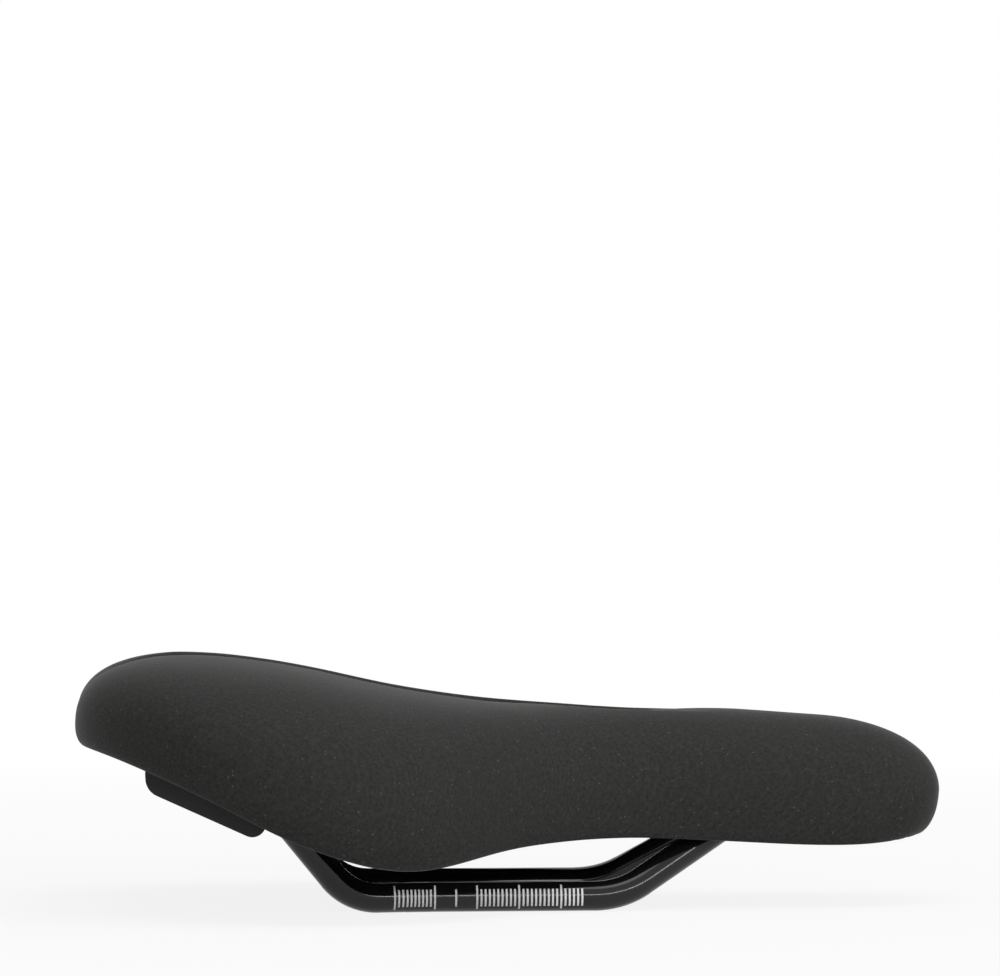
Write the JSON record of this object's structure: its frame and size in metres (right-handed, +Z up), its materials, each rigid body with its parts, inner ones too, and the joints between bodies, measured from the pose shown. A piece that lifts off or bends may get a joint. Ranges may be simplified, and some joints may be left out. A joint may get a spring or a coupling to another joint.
{
  "type": "bicycle saddle",
  "caption": "Junior bicycle saddle: padded soft-touch cover with a relief channel over a moulded base, on a bent round-wire rail for a seatpost clamp.",
  "frame": {"origin": "under the middle of the length, on the plane that the undersides of the rail's clamp runs lie in", "axes": "+X from the tail to the nose, +Y across, +Z up"},
  "size_m": [0.21, 0.128, 0.0612],
  "materials": {
    "cover": "matt soft-touch skin with a fine grain",
    "foam": "moulded foam, hidden inside",
    "base": "satin moulded plastic",
    "rail": "gloss black enamel on steel wire"
  },
  "bodies": {
    "root": {"cover": "cover", "padding": "foam", "base_shell": "base", "rail": "rail"}
  },
  "joints": []
}
